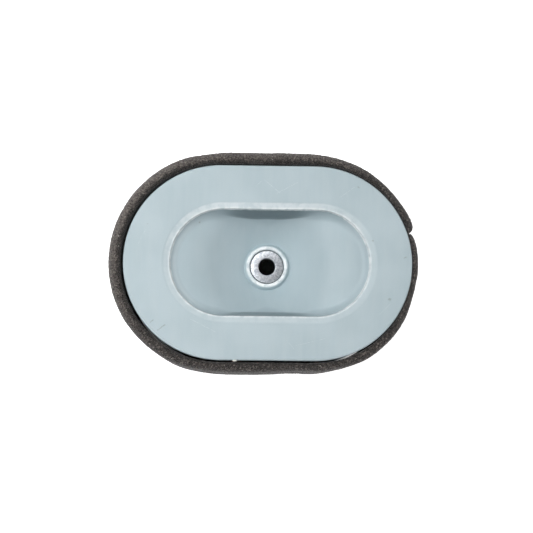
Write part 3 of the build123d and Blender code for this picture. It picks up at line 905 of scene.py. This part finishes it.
def expanded_mesh(name, node, low, high, per_side, per_end, material):
    """Expanded-metal tube: twisted strands round staggered diamonds, between two plain bands."""
    low_z, high_z = low[2], high[2]
    first = low_z + MESH_MARGIN + DIAMOND_PITCH_Z / 2
    last = high_z - MESH_MARGIN - DIAMOND_PITCH_Z / 2
    rows = int((last - first) / (DIAMOND_PITCH_Z / 2)) + 1
    pitch = (last - first) / (rows - 1)
    strand = MESH_STRAND / (2 * HALF_STRAIGHT / per_side)
    count = 2 * (per_side + per_end)
    middle = high[1] - MESH_THICK / 2
    steps = [(k / STRAND_STEPS, (k + 1) / STRAND_STEPS) for k in range(STRAND_STEPS)]
    points, index, faces = [], {}, []

    def vertex(u, z, lift=0.0):
        key = (round(u % count, 4), round(z, 3), round(lift, 3))
        if key not in index:
            index[key] = len(points)
            points.append((*perimeter_point(u, per_side, per_end, middle + key[2]), z))
        return index[key]

    def along(line, share):
        return vertex(*[start + (end - start) * share for start, end in zip(*line)])

    def edge_band(u, z, way, end):
        """Plain metal from the V between two diamonds of the last row to the tube's end."""
        tip = z + way * pitch
        for start, side in ((u, 1), (u + 1, -1)):
            for a, b in steps:
                v_side = [vertex(start + side * s * 0.5, tip - way * s * pitch) for s in (a, b)]
                tip_side = [vertex(start + side * s * 0.5, tip) for s in (b, a)]
                faces.append(tuple(dict.fromkeys(v_side + tip_side))[::side])
        for a, b in steps:
            for shift in (0, 0.5):
                near, far = u + shift + a / 2, u + shift + b / 2
                faces.append((vertex(near, tip), vertex(far, tip), vertex(far, end), vertex(near, end)))

    for row in range(rows):
        z = first + row * pitch
        for i in range(count):
            u = i + 0.5 * (row % 2)
            half, tall = 0.5 - strand / 2, pitch * (1 - strand)
            big = [(u + 0.5, z, 0.0), (u, z + pitch, 0.0), (u - 0.5, z, 0.0), (u, z - pitch, 0.0)]
            small = [(u + half, z, 0.0), (u, z + tall, STRAND_TWIST)]
            small += [(u - half, z, 0.0), (u, z - tall, -STRAND_TWIST)]
            for k in range(4):
                outer, inner = ((ring[k], ring[(k + 1) % 4]) for ring in (big, small))
                for a, b in steps:
                    faces.append((along(outer, a), along(outer, b), along(inner, b), along(inner, a)))
            if row == 0:
                edge_band(u, z, -1, low_z)
            if row == rows - 1:
                edge_band(u, z, 1, high_z)
    piece = make_piece(name, points, faces, material, smooth=False)
    solidify(piece, MESH_THICK, 0)
    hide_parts(node)


def channel(material):
    """Bottom end cap: a folded channel, its paint scraped along both outer bends."""
    low, high = channel_low[2], channel_high[2]
    lip, inner_bend = 0.2, CHANNEL_BEND - SHEET
    profile = rounded_loop([
        (OPENING_RADIUS, low, CHANNEL_BEND),
        (CAP_RADIUS, low, CHANNEL_BEND),
        (CAP_RADIUS, high, lip),
        (CAP_RADIUS - SHEET, high, lip),
        (CAP_RADIUS - SHEET, low + SHEET, inner_bend),
        (OPENING_RADIUS + SHEET, low + SHEET, inner_bend),
        (OPENING_RADIUS + SHEET, high, lip),
        (OPENING_RADIUS, high, lip),
    ], steps=5)
    stations = oval_stations(16, 60)
    piece = sweep("bottom_channel", profile, stations, material)
    radius, z = profile.T
    scrape_high, scrape_inner, scrape_outer = low + 1.2, 31.0, 44.0
    scraped = (z < scrape_high) & ((radius < scrape_inner) | (radius > scrape_outer))
    add_attribute(piece, "edge", np.repeat(scraped, len(stations)))
    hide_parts("bottom_end_cap")


def potting_pool(name, node, inner, outer, level, base, material):
    """Cast adhesive with a meniscus at both walls and a gently uneven free surface at a level."""
    stations = oval_stations(40, 110)
    way = 1 if level > base else -1
    rows = []
    for share in np.linspace(0, 1, 17):
        x, y = oval_points(stations, inner + (outer - inner) * share)
        climb = MENISCUS * (bell(share, 1 / 14, power=1) + bell(1 - share, 1 / 14, power=1))
        uneven = np.array([POOL_WAVE * noise.noise(Vector((a / 6, b / 6, level))) for a, b in zip(x, y)])
        rows.append(np.column_stack([x, y, level + way * (climb + uneven - MENISCUS / 2)]))
    for radius in (outer, inner):
        rows.append(np.column_stack([*oval_points(stations, radius), np.full(len(stations), base)]))
    piece = make_piece(name, rows, grid_faces(len(rows), len(stations), close_rows=True), material)
    turn_outward(piece)
    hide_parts(node)


def potting_bead(material):
    """A dab of adhesive squeezed out over the end cap's near edge."""
    centre = np.array([-15.1, -CAP_RADIUS - 0.05, TOP_Z - 0.75])
    size = np.array([1.15, 0.62, 0.62])
    rows, columns = 17, 28
    points = []
    for lift in np.linspace(0, pi, rows):
        for j in range(columns):
            turn = 2 * pi * j / columns
            way = Vector((sin(lift) * cos(turn), sin(lift) * sin(turn), cos(lift)))
            swell = 1 + 0.22 * noise.noise(way * 1.4 + Vector((3, 1, 7)))
            points.append(centre + size * np.array(way) * swell)
    piece = make_piece("potting_bead", points, grid_faces(rows, columns), material)
    turn_outward(piece)


def gasket(material):
    """Moulded base gasket with two sealing ribs on its underside and a waved groove between them."""
    low, high = gasket_low[2], gasket_high[2]
    inner, outer = POTTING_INNER, gasket_high[1]

    def rib(start):
        """Half-round section from its outer foot to its inner foot."""
        return [(start - RIB_WIDTH / 2 * (1 - cos(turn)), low + RIB_HEIGHT * (1 - sin(turn) ** 0.8))
                for turn in np.linspace(0, pi, 9)]

    groove_floor, groove_wave, groove_pitch, groove_margin = 0.9, 0.22, 3.0, 0.6
    profile = [(inner, high), (outer, high), (outer, low + RIB_HEIGHT)] + rib(outer)
    for radius in np.linspace(outer - RIB_WIDTH - groove_margin, inner + RIB_WIDTH + groove_margin, 9):
        wave = groove_wave * cos(2 * pi * (radius - (outer + inner) / 2) / groove_pitch)
        profile.append((radius, low + groove_floor + wave))
    profile += rib(inner + RIB_WIDTH) + [(inner, low + 1.6)]
    piece = sweep("base_gasket_moulded", np.array(profile), oval_stations(16, 72), material)
    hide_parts("base_gasket")


# Foam sleeve

def foam_stations(count):
    """Places round the sleeve, anticlockwise from one end of the foam strip at its seam to the other end:
    share of the straight side from -1 to 1, angle, and distance walked along the middle of the foam."""
    radius = (FOAM_OUTER_RADIUS + FOAM_INNER_RADIUS) / 2
    straight = FOAM_OUTER_STRAIGHT + HALF_STRAIGHT
    length, share, angle = np.transpose([
        (0, 1, SEAM_ANGLE),
        (radius * (pi / 2 - SEAM_ANGLE), 1, pi / 2),
        (straight, -1, pi / 2),
        (radius * pi, -1, 3 * pi / 2),
        (straight, 1, 3 * pi / 2),
        (radius * (pi / 2 + SEAM_ANGLE), 1, 2 * pi + SEAM_ANGLE),
    ])
    run_ends = np.cumsum(length)
    walked = end_spaced(run_ends[-1], count)
    return np.interp(walked, run_ends, share), np.interp(walked, run_ends, angle), walked


def end_spaced(total, count):
    """Distances from 0 to total, even in the middle and closer together in the last few millimetres."""
    fine, few = 2.4, 12
    start = fine * (np.arange(few) / few) ** 1.3
    middle = np.linspace(fine, total - fine, count - 2 * few)
    return np.concatenate([start, middle, total - start[::-1]])


def foam_section():
    """Section of the foam strip: at each place a radial offset, a share of the thickness, and a height."""
    low, high = foam_low[2], foam_high[2]
    small, large = 0.5, FOAM_ROUND

    def quarter(count):
        return np.linspace(0, pi / 2, count)[1:]

    loop = [(small - share * (small + large), share, high) for share in np.linspace(0, 1, 15)]
    loop += [(large * (sin(turn) - 1), 1, high - large * (1 - cos(turn))) for turn in quarter(6)]
    loop += [(0, 1, z) for z in np.linspace(high - large, low + large, 66)[1:]]
    loop += [(large * (cos(turn) - 1), 1, low + large * (1 - sin(turn))) for turn in quarter(5)]
    loop += [(small - share * (small + large), share, low) for share in np.linspace(1, 0, 7)[1:]]
    loop += [(small * (1 - sin(turn)), 0, low + small * (1 - cos(turn))) for turn in quarter(3)]
    loop += [(0, 0, z) for z in np.linspace(low + small, high - small, 13)[1:]]
    loop.append((small * (1 - cos(pi / 4)), 0, high - small * (1 - sin(pi / 4))))
    return np.array(loop)


def corner_cut(distance, radius):
    """How far a rounded corner of that radius has fallen away, by distance from the end."""
    near = np.clip(radius - distance, 0, radius)
    return radius - np.sqrt(radius ** 2 - near ** 2)


# Where the foam stands fuller or thinner: bearing from the stud in degrees, millimetres, spread in degrees
FOAM_SWELLS = (
    (-12, -0.75, 9),
    (-28, 0.85, 17),
    (-46, 0.85, 11),
    (-54, -0.55, 10),
    (-74, -0.85, 11),
    (-120, -0.45, 7),
    (197, 0.25, 35),
    (120, -0.55, 7),
    (90, 0.42, 40),
    (60, -0.35, 12),
    (21, 0.35, 7),
)


def foam_thickness(plain, walked, total, bearing):
    """Thickness along the strip: the plain sleeve's, with swells, lumps and two ends that make a V nick."""
    to_end = total - walked
    thickness = plain + 0.45 * bell(walked - 4.5, 3.5) - 1.9 * bell(to_end, 4.0, power=1)
    thickness = thickness - corner_cut(walked, 2.1) - corner_cut(to_end, 0.5)
    lumps = np.array([noise.noise(Vector((w / 9, 0.0, 1.7))) for w in walked])
    thickness = thickness + 0.14 * lumps - 0.06
    for turn, height, spread in FOAM_SWELLS:
        apart = np.remainder(bearing - radians(turn) + pi, 2 * pi) - pi
        thickness = thickness + height * bell(apart, radians(spread))
    return thickness


def foam_sleeve(material):
    """Foam strip wrapped into a sleeve: uneven thickness, rounded outer edges, torn pores, and two ends that
    meet in a V-shaped nick."""
    straight_share, angle, walked = foam_stations(860)
    total = walked[-1]
    section = foam_section()
    offset, share, height = section.T[:, :, None]
    across = np.stack([np.cos(angle), np.sin(angle)], -1)
    inner = FOAM_INNER_RADIUS * across
    inner[:, 0] += FOAM_INNER_X + straight_share * HALF_STRAIGHT
    outer = FOAM_OUTER_RADIUS * across + [0, FOAM_OUTER_Y]
    outer[:, 0] += FOAM_OUTER_X + straight_share * FOAM_OUTER_STRAIGHT
    plain = np.linalg.norm(outer - inner, axis=1)
    way = (outer - inner) / plain[:, None]
    thickness = foam_thickness(plain, walked, total, np.arctan2(outer[:, 1], outer[:, 0]))
    seam_pull = 0.28 * (bell(walked, 1.2, power=1) - bell(total - walked, 1.2, power=1))
    reach = offset + share * thickness
    x = inner[:, 0] + reach * way[:, 0] - seam_pull * np.sin(angle)
    y = inner[:, 1] + reach * way[:, 1] + seam_pull * np.cos(angle)
    points = np.stack([x, y, np.broadcast_to(height, x.shape)], -1)
    rows, columns = x.shape

    sideways, upward = section_normals(section).T[:, :, None, None]
    outward = sideways * np.column_stack([way, np.zeros(columns)]) + upward * np.array([0, 0, 1.0])
    flat = points.reshape(-1, 3)
    sunk = pore_depth(flat).reshape(rows, columns)
    swell = np.array([noise.noise(Vector(p / 5.0)) for p in flat]).reshape(rows, columns)
    lift = np.where(share == 0, -0.1 * sunk, 0.12 - 0.42 * sunk + 0.10 * swell)
    points = points + outward * lift[..., None]

    faces = grid_faces(rows, columns, close_rows=True, close_columns=False)
    faces += [range(0, rows * columns, columns), range(columns - 1, rows * columns, columns)]
    piece = make_piece("foam_sleeve", points, faces, material, body="precleaner")
    turn_outward(piece)
    # painted shade: the pores and the inner top edge beside the cap are darkened
    inner_edge = bell(share * thickness.mean(), 1.9)
    add_attribute(piece, "painted_hollow_shade", np.clip(0.9 * sunk + inner_edge, 0, 1))
    on_top = rise(height, foam_high[2] - FOAM_ROUND - 2, foam_high[2] - FOAM_ROUND)
    add_attribute(piece, "top", np.repeat(on_top, columns))
    # rim: painted light on the top's outer edge, strongest towards the light at a bearing of 140 degrees
    towards_light = 0.08 + 0.92 * np.clip(np.cos(angle - radians(140)), 0, 1)
    add_attribute(piece, "rim", on_top * share ** 2.5 * towards_light)
    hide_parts("precleaner_foam")


def section_normals(section):
    """Outward direction of the section at each place, as radial and upward parts."""
    usual_thickness = 5.0
    flat = np.column_stack([section[:, 0] + usual_thickness * section[:, 1], section[:, 2]])
    tangent = np.roll(flat, -1, axis=0) - np.roll(flat, 1, axis=0)
    tangent /= np.linalg.norm(tangent, axis=1)[:, None]
    return np.column_stack([-tangent[:, 1], tangent[:, 0]])


def pore_depth(points):
    """Depth of the torn foam surface at each point: 0 on a cell wall, 1 in a pore."""
    nearest = np.array([noise.voronoi(Vector(p) / FOAM_PORE)[0][:2] for p in points])
    return np.clip(1.35 * (nearest[:, 1] - nearest[:, 0]), 0, 1)


def glue_film(material):
    """Dark glue in the slit between the foam's two ends."""
    inner = FOAM_INNER_RADIUS + 0.1
    outer = hypot(glue_high[0] - FOAM_INNER_X - HALF_STRAIGHT, glue_high[1]) - 0.15
    across = np.array([cos(SEAM_ANGLE), sin(SEAM_ANGLE)])
    along = np.array([-sin(SEAM_ANGLE), cos(SEAM_ANGLE)])
    section = [(inner, -1), (outer, -1), (outer + 0.12, 0), (outer, 1), (inner, 1), (inner - 0.05, 0)]
    points = []
    for z in np.linspace(glue_low[2], glue_high[2], 60):
        for radius, side in section:
            wave = 0.07 * noise.noise(Vector((radius, side, z / 1.6)))
            place = (radius + 2 * wave) * across + side * (0.2 + wave) * along
            points.append((FOAM_INNER_X + HALF_STRAIGHT + place[0], place[1], z))
    corners = len(section)
    faces = grid_faces(len(points) // corners, corners)
    faces += [tuple(range(corners)), tuple(range(len(points) - corners, len(points)))]
    piece = make_piece("seam_glue", points, faces, material, body="precleaner")
    turn_outward(piece)
    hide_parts("foam_seam_glue")


# Studio

def floor_material():
    """White light table, dark under the object's own footprint."""
    floor = Material("floor")
    split = floor.node("ShaderNodeSeparateXYZ", Vector=floor.place).outputs
    beside = floor.math("ABSOLUTE", floor.minus(split[0], FOAM_OUTER_X * MM))
    past_straight = floor.math("MAXIMUM", floor.minus(beside, FOAM_OUTER_STRAIGHT * MM), 0.0)
    squares = floor.plus(floor.math("POWER", past_straight, 2.0), floor.math("POWER", split[1], 2.0))
    distance = floor.math("SQRT", squares)
    glow = floor.ramp(distance, (FOAM_OUTER_RADIUS - 6) * MM, (FOAM_OUTER_RADIUS - 3) * MM, 0.0, 0.85)
    return floor.finish(Base_Color=(250, 250, 250), Roughness=0.9, Emission_Color=(255, 255, 255),
                        Emission_Strength=glow, Specular_IOR_Level=0.0)


def area_light(name, place, aim, size, power):
    data = bpy.data.lights.new(name, "AREA")
    data.shape = "RECTANGLE"
    data.size, data.size_y = size
    data.energy = power
    light = bpy.data.objects.new(name, data)
    bpy.context.scene.collection.objects.link(light)
    light.location = place
    light.rotation_mode = "QUATERNION"
    light.rotation_quaternion = (Vector(aim) - Vector(place)).to_track_quat("-Z", "Y")


def studio():
    scene = bpy.context.scene
    scene.view_settings.view_transform = "Standard"
    world = bpy.data.worlds.new("world")
    world.use_nodes = True
    sky = world.node_tree.nodes["Background"]
    sky.inputs["Color"].default_value = (1, 1, 1, 1)
    path = world.node_tree.nodes.new("ShaderNodeLightPath")
    strength = world.node_tree.nodes.new("ShaderNodeMapRange")
    strength.inputs["To Min"].default_value = SKY_LIGHT
    strength.inputs["To Max"].default_value = 1.0
    world.node_tree.links.new(path.outputs["Is Camera Ray"], strength.inputs["Value"])
    world.node_tree.links.new(strength.outputs[0], sky.inputs["Strength"])
    scene.world = world
    bpy.ops.mesh.primitive_plane_add(size=6.0, location=(0, 0, cad_low[2] - 0.0002))
    floor = bpy.context.object
    floor.name = "floor"
    floor.data.materials.append(floor_material())
    centre = (0, 0, TOP_Z * MM)
    for name, place, size, share in (
        ("softbox_left", (-0.38, 0.02, 0.56), (0.45, 0.45), 0.82),
        ("softbox_right", (1.10, 0.02, 0.85), (0.70, 0.80), 1.75),
        ("softbox_far", (-0.15, 0.40, 0.85), (0.90, 0.40), 0.90),
        ("softbox_near", (-0.15, -0.45, 0.85), (0.90, 0.40), 0.42),
    ):
        area_light(name, place, centre, size, share * SOFTBOX_POWER)


def camera():
    """Looks down at the end cap, tipped a little towards the near side and the left."""
    data = bpy.data.cameras.new("camera")
    data.lens = LENS
    data.sensor_width = 36.0
    data.clip_start, data.clip_end = 0.01, 10
    shot = bpy.data.objects.new("camera", data)
    bpy.context.scene.collection.objects.link(shot)
    back = Vector((-tan(LEAN_LEFT), -tan(LEAN_NEAR), 1)).normalized()
    shot.location = (Vector(CAMERA_AIM) + back * CAMERA_DISTANCE) * MM
    right = Vector((0, 1, 0)).cross(back).normalized()
    upright = Matrix((right, back.cross(right), back)).transposed().to_quaternion()
    shot.rotation_mode = "QUATERNION"
    shot.rotation_quaternion = upright @ Quaternion((0, 0, 1), ROLL)
    bpy.context.scene.camera = shot


paint = cap_paint()
plated = zinc()
steel_mesh = galvanised()
resin = potting()
black = rubber()

end_cap(paint)
stud_bush(plated)
ring_piece("seal_ring", "stud_seal_washer", seal_low, seal_high, 0.2, black)
ring_piece("backing_ring", "bush_backing_washer", backing_low, backing_high, 0.15, plated)
pleated_paper(filter_paper())
seam_clip(clip_metal())
expanded_mesh("core_mesh", "inner_core", core_low, core_high, 5, 11, steel_mesh)
expanded_mesh("screen_mesh", "outer_screen", screen_low, screen_high, 5, 16, steel_mesh)
channel(channel_paint())
potting_pool("bottom_resin", "bottom_potting", OPENING_RADIUS + SHEET, CAP_RADIUS - SHEET,
             channel_low[2] + SHEET + POTTING_DEPTH, channel_low[2] + SHEET, resin)
potting_pool("top_resin", "top_potting", POTTING_INNER, CAP_RADIUS - SHEET,
             TOP_Z - SHEET - POTTING_DEPTH, TOP_Z - SHEET, resin)
potting_bead(resin)
gasket(black)
foam_sleeve(foam_material())
glue_film(glue_material())
studio()
camera()
